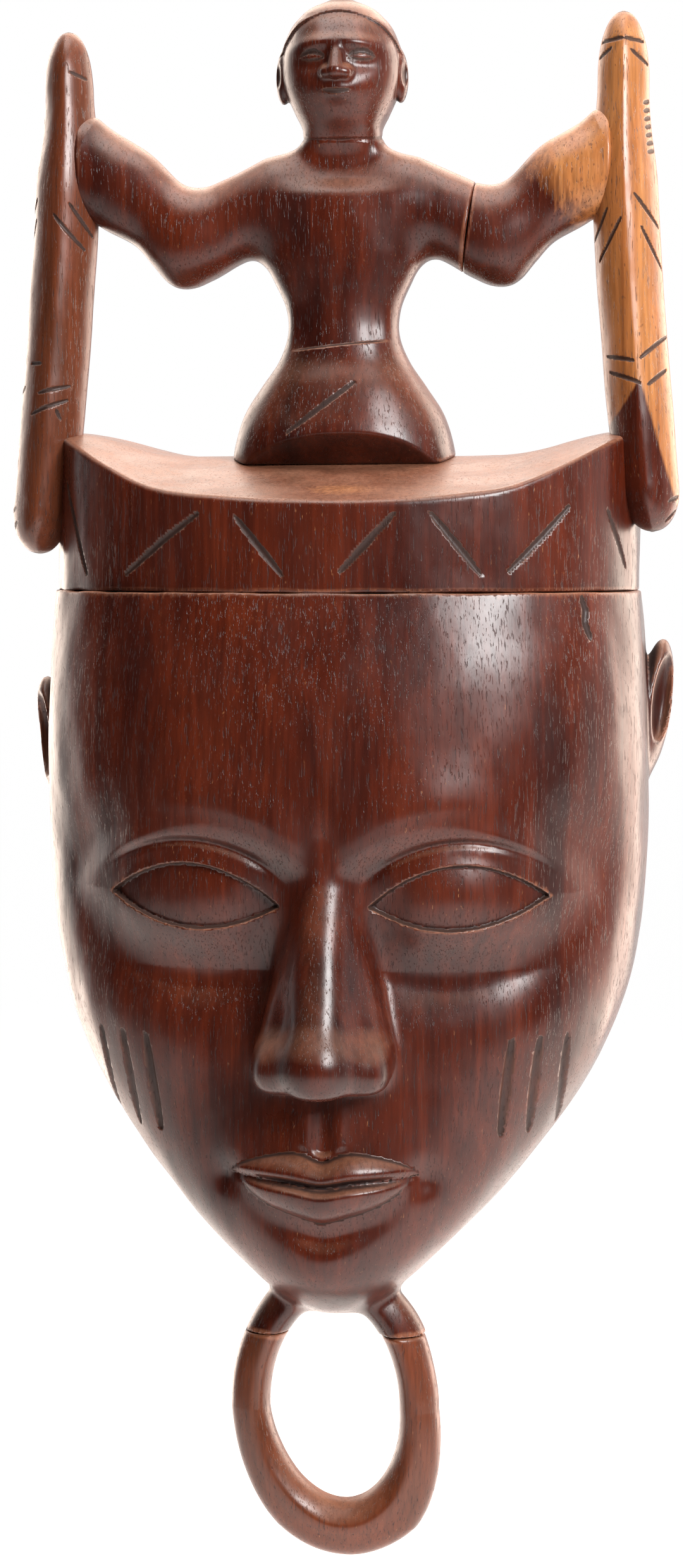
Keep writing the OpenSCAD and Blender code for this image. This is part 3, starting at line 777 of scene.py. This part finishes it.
class Nodes:
    """Short calls for building a material's nodes."""

    def __init__(self, name):
        self.material = bpy.data.materials.new(name)
        self.material.use_nodes = True
        self.tree = self.material.node_tree
        self.shader = self.tree.nodes["Principled BSDF"]

    def add(self, kind, inputs=None, **settings):
        node = self.tree.nodes.new(kind)
        for key, value in settings.items():
            setattr(node, key, value)
        for key, value in (inputs or {}).items():
            self.put(node.inputs[key], value)
        return node

    def put(self, socket, value):
        if isinstance(value, bpy.types.NodeSocket):
            self.tree.links.new(value, socket)
        else:
            socket.default_value = value

    def maths(self, operation, a, b=0.0, clamp=False):
        node = self.add("ShaderNodeMath", operation=operation, use_clamp=clamp)
        self.put(node.inputs[0], a)
        self.put(node.inputs[1], b)
        return node.outputs[0]

    def blend(self, factor, a, b, mode="MIX"):
        node = self.add("ShaderNodeMix", data_type="RGBA", blend_type=mode)
        self.put(node.inputs[0], factor)
        self.put(node.inputs[6], a)
        self.put(node.inputs[7], b)
        return node.outputs[2]

    def ramp(self, value, stops):
        node = self.add("ShaderNodeValToRGB", {"Fac": value})
        ramp = node.color_ramp
        while len(ramp.elements) < len(stops):
            ramp.elements.new(0.5)
        for element, (place, colour) in zip(ramp.elements, stops):
            element.position = place
            element.color = colour if len(colour) == 4 else (*colour, 1.0)
        return node.outputs["Color"]

    def range(self, value, a, b, to_a=0.0, to_b=1.0):
        node = self.add("ShaderNodeMapRange", {0: value, 1: a, 2: b, 3: to_a, 4: to_b})
        return node.outputs[0]

    def noise(self, where, stretch, detail=3.0, rough=0.5, warp=0.0):
        """Noise whose features are about stretch millimetres along X, Y and Z."""
        scale = self.add("ShaderNodeMapping", {"Vector": where})
        scale.inputs["Scale"].default_value = [1.0 / (s * MM) for s in stretch]
        node = self.add(
            "ShaderNodeTexNoise",
            {"Vector": scale.outputs[0], "Scale": 1.0, "Detail": detail, "Roughness": rough},
        )
        node.inputs["Distortion"].default_value = warp
        return node.outputs["Fac"]


def grey(value):
    return (value, value, value)


def make_wood(name, lift):
    """Oiled dark red-brown heartwood, with paler sapwood where the mesh says so; lift makes the
    heartwood lighter."""
    n = Nodes(name)
    place = n.add("ShaderNodeTexCoord").outputs["Object"]
    marks = n.add("ShaderNodeAttribute", attribute_name="marks")
    parts = n.add("ShaderNodeSeparateColor", {"Color": marks.outputs["Color"]})
    hollow, edge, sap = parts.outputs[0], parts.outputs[1], parts.outputs[2]
    nook = marks.outputs["Alpha"]

    broad = n.noise(place, (26, 26, 80), 3.0, 0.55, 0.4)
    bands = n.noise(place, (5.5, 7, 130), 4.0, 0.6, 0.6)
    streaks = n.noise(place, (1.1, 1.3, 26), 3.0, 0.6)
    pores = n.noise(place, (0.42, 0.5, 5.0), 2.0, 0.6)
    flecks = n.noise(place, (0.7, 0.7, 3.2), 2.0, 0.7)
    smudge = n.noise(place, (14, 14, 20), 4.0, 0.6)

    heart = n.ramp(bands, [(0.22, (0.019, 0.0022, 0.0011)), (0.45, (0.039, 0.0048, 0.0020)),
                           (0.62, (0.074, 0.0105, 0.0036)), (0.85, (0.140, 0.0260, 0.0085))])  # fmt: skip
    warm = n.range(broad, 0.35, 0.72)
    heart = n.blend(n.maths("MULTIPLY", warm, 0.55), heart, (0.112, 0.0180, 0.0058, 1.0))
    dark = n.range(broad, 0.55, 0.28)
    heart = n.blend(n.maths("MULTIPLY", dark, 0.5), heart, (0.018, 0.0035, 0.0022, 1.0))

    heart = n.blend(lift, heart, (0.280, 0.0850, 0.0350, 1.0))

    pale = n.ramp(bands, [(0.28, (0.26, 0.078, 0.021)), (0.5, (0.36, 0.130, 0.038)),
                          (0.75, (0.46, 0.200, 0.070))])  # fmt: skip
    rough_edge = n.maths("ADD", sap, n.maths("MULTIPLY", n.maths("SUBTRACT", streaks, 0.5), 0.45))
    is_sap = n.range(rough_edge, 0.3, 0.72)
    colour = n.blend(is_sap, heart, pale)

    streak = n.range(streaks, 0.38, 0.62, 0.68, 1.0)
    colour = n.blend(0.9, colour, n.ramp(streak, [(0.0, grey(0.0)), (1.0, grey(1.0))]), "MULTIPLY")
    pore = n.range(pores, 0.60, 0.68)
    colour = n.blend(n.maths("MULTIPLY", pore, 0.6), colour, (0.018, 0.006, 0.005, 1.0))
    pits = n.maths("MULTIPLY", n.range(n.noise(place, (1.3, 1.3, 2.4), 1.0), 0.70, 0.75), is_sap)
    colour = n.blend(n.maths("MULTIPLY", pits, 0.7), colour, (0.10, 0.035, 0.016, 1.0))
    fleck = n.maths("MULTIPLY", n.range(flecks, 0.68, 0.76), n.range(broad, 0.4, 0.6))
    colour = n.blend(n.maths("MULTIPLY", fleck, 0.45), colour, (0.42, 0.19, 0.085, 1.0))

    # partly rubbed wear and partly painted highlight: sharp outer edges are painted a lighter brown,
    # broken up by the grain streaks
    wear_and_edge_highlight = n.maths("MULTIPLY", n.range(edge, 0.15, 0.6), n.range(streaks, 0.3, 0.7, 0.5, 1.0))
    colour = n.blend(n.maths("MULTIPLY", wear_and_edge_highlight, 0.55), colour, (0.36, 0.140, 0.075, 1.0))
    # partly dust and partly painted top light: faces that point upwards are painted a lighter, warmer
    # brown, broken up by the noise, and are made rougher
    facing = n.add("ShaderNodeSeparateXYZ", {"Vector": n.add("ShaderNodeNewGeometry").outputs["Normal"]})
    dust_and_top_light = n.range(facing.outputs["Z"], 0.25, 0.8, 0.0, 0.6)
    dust_and_top_light = n.maths("MULTIPLY", dust_and_top_light, n.range(smudge, 0.3, 0.65, 0.6, 1.0))
    dust_and_top_light = n.maths("MULTIPLY", dust_and_top_light, n.range(streaks, 0.35, 0.6, 0.7, 1.0))
    colour = n.blend(dust_and_top_light, colour, (0.32, 0.140, 0.078, 1.0))
    # painted shade: where the surface lies in a hollow or a nook, the colour is pulled towards near black
    # to stand in for the shade that falls there; the same mask also makes those places rougher
    painted_hollow_shade = n.maths("ADD", n.range(hollow, 0.15, 0.6, 0.0, 0.7), n.range(nook, 0.2, 0.9, 0.0, 0.4))
    painted_hollow_shade = n.maths("MINIMUM", painted_hollow_shade, 0.9)
    colour = n.blend(painted_hollow_shade, colour, (0.014, 0.0045, 0.003, 1.0))
    n.put(n.shader.inputs["Base Color"], colour)

    gloss = n.range(smudge, 0.3, 0.7, 0.24, 0.37)
    gloss = n.maths("ADD", gloss, n.maths("MULTIPLY", pore, 0.22))
    gloss = n.maths("ADD", gloss, n.maths("MULTIPLY", painted_hollow_shade, 0.3))
    gloss = n.maths("ADD", gloss, n.maths("MULTIPLY", dust_and_top_light, 0.25))
    n.put(n.shader.inputs["Roughness"], gloss)
    n.shader.inputs["Coat Weight"].default_value = 0.08
    n.shader.inputs["Coat Roughness"].default_value = 0.2
    n.shader.inputs["Specular IOR Level"].default_value = 0.38

    relief = n.maths("SUBTRACT", n.maths("MULTIPLY", streaks, 0.35), n.maths("MULTIPLY", pore, 1.0))
    fine = n.add("ShaderNodeBump", {"Height": relief, "Distance": 0.00012, "Strength": 0.6})
    tool = n.noise(place, (6, 6, 9), 2.0, 0.5)
    soft = n.add(
        "ShaderNodeBump",
        {"Height": tool, "Distance": 0.0004, "Strength": 0.12, "Normal": fine.outputs[0]},
    )
    n.put(n.shader.inputs["Normal"], soft.outputs[0])
    return n.material


def make_plain_wood():
    """Bare wood of the pegs, which are all inside."""
    n = Nodes("peg_wood")
    place = n.add("ShaderNodeTexCoord").outputs["Object"]
    grain = n.noise(place, (1.5, 1.5, 18), 3.0, 0.6)
    tan = n.ramp(grain, [(0.3, (0.36, 0.21, 0.10)), (0.7, (0.55, 0.36, 0.19))])
    n.put(n.shader.inputs["Base Color"], tan)
    n.put(n.shader.inputs["Roughness"], n.range(grain, 0.3, 0.7, 0.5, 0.7))
    bump = n.add("ShaderNodeBump", {"Height": grain, "Distance": 0.0002, "Strength": 0.5})
    n.put(n.shader.inputs["Normal"], bump.outputs[0])
    return n.material


def post_sapwood(x, y, z):
    """The right post is sapwood, with a tongue of heartwood that widens downwards on its face."""
    across = (x - post_axis(z)) / 9.5
    outer = mix(0.1, 1.0, np.clip((46 - z) / 44, 0, 1))
    inner = mix(0.05, -1.4, np.clip((46 - z) / 17, 0, 1) ** 1.2)
    heart = smooth((outer - across) / 0.3 + 0.5) * smooth((across - inner) / 0.3 + 0.5)
    return 1.0 - heart * smooth((48 - z) / 4)


PATCH = (4.0, -77.0)
PATCH_SIZE = (13.0, 6.5)


def crown_sapwood(x, y, z):
    """A small orange patch on the front of the crown's top."""
    across, along = (x - PATCH[0]) / PATCH_SIZE[0], (y - PATCH[1]) / PATCH_SIZE[1]
    return 0.62 * bell(np.sqrt(across**2 + along**2), 1.0) * smooth((z - crown_top(x, y) + 3) / 3)


def forearm_sapwood(x, y, z):
    """The forearm turns from heartwood to sapwood on its way to the post."""
    return smooth((x + 0.8 * (z - ELBOW[2]) - 50) / 44)


# ---- pieces ---------------------------------------------------------------------------------

CHEEK_LINES = cheek_lines()
FOREHEAD_CRACK = forehead_crack()
CROWN_LINES = crown_lines()
FIGURE_LINES = figure_lines()
RIGHT_LINES = post_line(POST_LO[2], POST_HI[2], RIGHT_CUTS)
LEFT_LINES = post_line(LEFT_POST_LO[2], LEFT_POST_HI[2], LEFT_CUTS)


def post_right_field(x, y, z):
    return post_field(x, y, z, POST_LO[2], POST_HI[2], RIGHT_LINES)


def post_left_field(x, y, z):
    return post_field(-x, y, z, LEFT_POST_LO[2], LEFT_POST_HI[2], LEFT_LINES)


# how far the left post and the ring go towards a lighter brown
LIGHTER = 0.3

wood = make_wood("carved_wood", 0.0)
light_wood = make_wood("lighter_carved_wood", LIGHTER)
pieces = {
    "heartwood": [
        carve("face_and_ears", "mask_shell", mask_shell_field, 0.85),
        carve("banded_crown", "crown", crown_field, 0.72, crown_sapwood),
        carve("seated_figure", "figure", figure_field, 0.55),
        carve("right_forearm", "forearm_right", forearm_field, 0.5, forearm_sapwood),
        carve("left_post", "post_left", post_left_field, 0.4, material=light_wood),
        carve("grip_ring", "chin_ring", chin_ring_field, 0.4, material=light_wood),
    ],
    "sapwood": [carve("right_post", "post_right", post_right_field, 0.4, post_sapwood)],
}

peg_material = make_plain_wood()
for node in ("crown_dowels", "seat_dowel", "arm_pin", "hand_pegs", "post_pegs", "ring_pegs"):
    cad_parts[node].data.materials.clear()
    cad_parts[node].data.materials.append(peg_material)

# ---- studio ---------------------------------------------------------------------------------

TARGET = Vector((0.0, -0.045, -0.070))
AZIMUTH = 6.5
ELEVATION = 4.5
DISTANCE = 0.90
LENS = 71.2

WHITE = (1.0, 1.0, 1.0)
WARM = (1.0, 0.80, 0.66)
SCREEN_R = 1.5
SCREEN_LEFT = -104.0
SCREEN_RIGHT = 84.0
SCREEN_LOW = -0.54
SCREEN_HIGH = 2.1


def around(azimuth, elevation, distance):
    """A place round the target: azimuth 0 is in front of the face and 90 to the viewer's right."""
    a, e = math.radians(azimuth), math.radians(elevation)
    way = Vector((math.sin(a) * math.cos(e), -math.cos(a) * math.cos(e), math.sin(e)))
    return TARGET + way * distance


def aim(thing, place, target):
    thing.location = place
    thing.rotation_euler = (target - place).to_track_quat("-Z", "Y").to_euler()


def add_camera():
    camera = bpy.data.objects.new("camera", bpy.data.cameras.new("camera"))
    bpy.context.scene.collection.objects.link(camera)
    aim(camera, around(AZIMUTH, ELEVATION, DISTANCE), TARGET)
    camera.data.sensor_width = 36.0
    camera.data.lens = LENS
    camera.data.clip_start = 0.01
    bpy.context.scene.camera = camera


def add_light(name, place, size, power, colour):
    light = bpy.data.lights.new(name, "AREA")
    light.shape = "RECTANGLE"
    light.size, light.size_y = size
    light.energy = power
    light.color = colour
    lamp = bpy.data.objects.new(name, light)
    bpy.context.scene.collection.objects.link(lamp)
    aim(lamp, place, TARGET)
    lamp.visible_camera = False


def stage_mesh(name, corners, faces, colour):
    """A matt surface of the studio, which isn't part of the object."""
    mesh = bpy.data.meshes.new(name)
    mesh.from_pydata(corners, [], faces)
    n = Nodes(name)
    matt = n.add("ShaderNodeBsdfDiffuse", {"Color": (*colour, 1.0)})
    n.put(n.tree.nodes["Material Output"].inputs["Surface"], matt.outputs[0])
    mesh.materials.append(n.material)
    thing = bpy.data.objects.new(name, mesh)
    bpy.context.scene.collection.objects.link(thing)
    return thing


def add_floor():
    reach, z = 8.0, cad_bounds[0][2] - 0.25
    corners = [(-reach, -reach, z), (reach, -reach, z), (reach, reach, z), (-reach, reach, z)]
    stage_mesh("pale_floor", corners, [(0, 1, 2, 3)], grey(1.0))


def add_dark_screen():
    """A dark curved screen behind the camera, so that the polished front has something dark to
    mirror while its edges mirror the white studio."""
    corners, faces = [], []
    steps = 16
    for k in range(steps + 1):
        a = math.radians(mix(SCREEN_LEFT, SCREEN_RIGHT, k / steps))
        for z in (SCREEN_LOW, SCREEN_HIGH):
            corners.append((SCREEN_R * math.sin(a), -SCREEN_R * math.cos(a), z))
    for k in range(steps):
        faces.append((2 * k, 2 * k + 1, 2 * k + 3, 2 * k + 2))
    screen = stage_mesh("dark_screen", corners, faces, grey(0.02))
    screen.visible_camera = False


def set_world():
    world = bpy.data.worlds.new("studio")
    bpy.context.scene.world = world
    world.use_nodes = True
    world.node_tree.nodes["Background"].inputs["Color"].default_value = (1.0, 1.0, 1.0, 1.0)
    world.node_tree.nodes["Background"].inputs["Strength"].default_value = 1.0


# name, place, width and height in metres, power in watts, colour
LIGHTS = [
    ("key", around(42, 27, 1.1), (0.42, 0.42), 18.0, WHITE),
    ("overhead", around(0, 78, 1.0), (0.9, 0.6), 8.0, WHITE),
    ("left_rim", around(-138, 5, 1.1), (0.6, 1.3), 10.0, WARM),
    ("right_rim", around(130, 5, 1.1), (0.6, 1.3), 16.0, WARM),
    ("top_rim", around(180, 55, 1.1), (1.0, 0.8), 14.0, WARM),
]

add_camera()
add_floor()
add_dark_screen()
set_world()
for light in LIGHTS:
    add_light(*light)
bpy.context.scene.view_settings.view_transform = "Standard"
